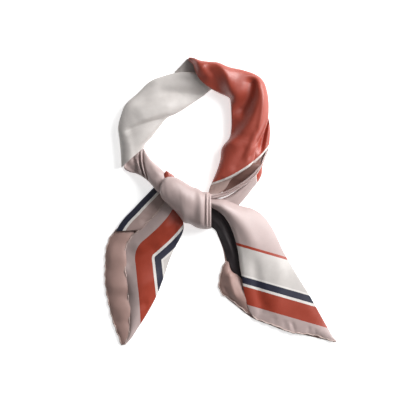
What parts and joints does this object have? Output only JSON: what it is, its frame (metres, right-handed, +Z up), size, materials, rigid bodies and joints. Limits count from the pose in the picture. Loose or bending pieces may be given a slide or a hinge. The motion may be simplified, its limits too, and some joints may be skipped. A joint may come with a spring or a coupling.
{
  "type": "silk square scarf",
  "caption": "Silk square folded on the bias into a soft band, tied in a half knot round an open neck loop and laid flat with its two corners spread as tails.",
  "frame": {"origin": "on the table, under the middle of the scarf's outline", "axes": "+Z up from the table, +Y from the tails towards the top of the neck loop, +X towards the longer tail"},
  "size_m": [0.2784, 0.3457, 0.035],
  "materials": {
    "ivory_silk": "soft silk twill, ivory field",
    "rust_silk": "soft silk twill, rust field",
    "blush_silk": "soft silk twill, pale blush border",
    "bordered_silk": "silk twill corner with straight blush, rust and navy border bands",
    "reverse_silk": "wrong side of the corner, paler and duller, with a hand-rolled hem",
    "charcoal_silk": "dark navy charcoal field of the inner layer"
  },
  "bodies": {
    "root": {"loop_left": "ivory_silk", "loop_tuck": "ivory_silk", "loop_right": "rust_silk", "loop_right_under": "rust_silk", "knot": "blush_silk", "knot_tuck": "rust_silk", "neck_left": "blush_silk", "neck_right_inner": "blush_silk", "neck_right_pleat": "blush_silk", "neck_right_outer": "blush_silk", "tail_left_turn": "blush_silk", "tail_left_front": "bordered_silk", "tail_left_flap": "reverse_silk", "tail_left_back": "reverse_silk", "tail_right_front": "bordered_silk", "tail_right_inner": "charcoal_silk", "tail_right_curl": "bordered_silk", "tail_right_back": "reverse_silk"}
  },
  "joints": []
}
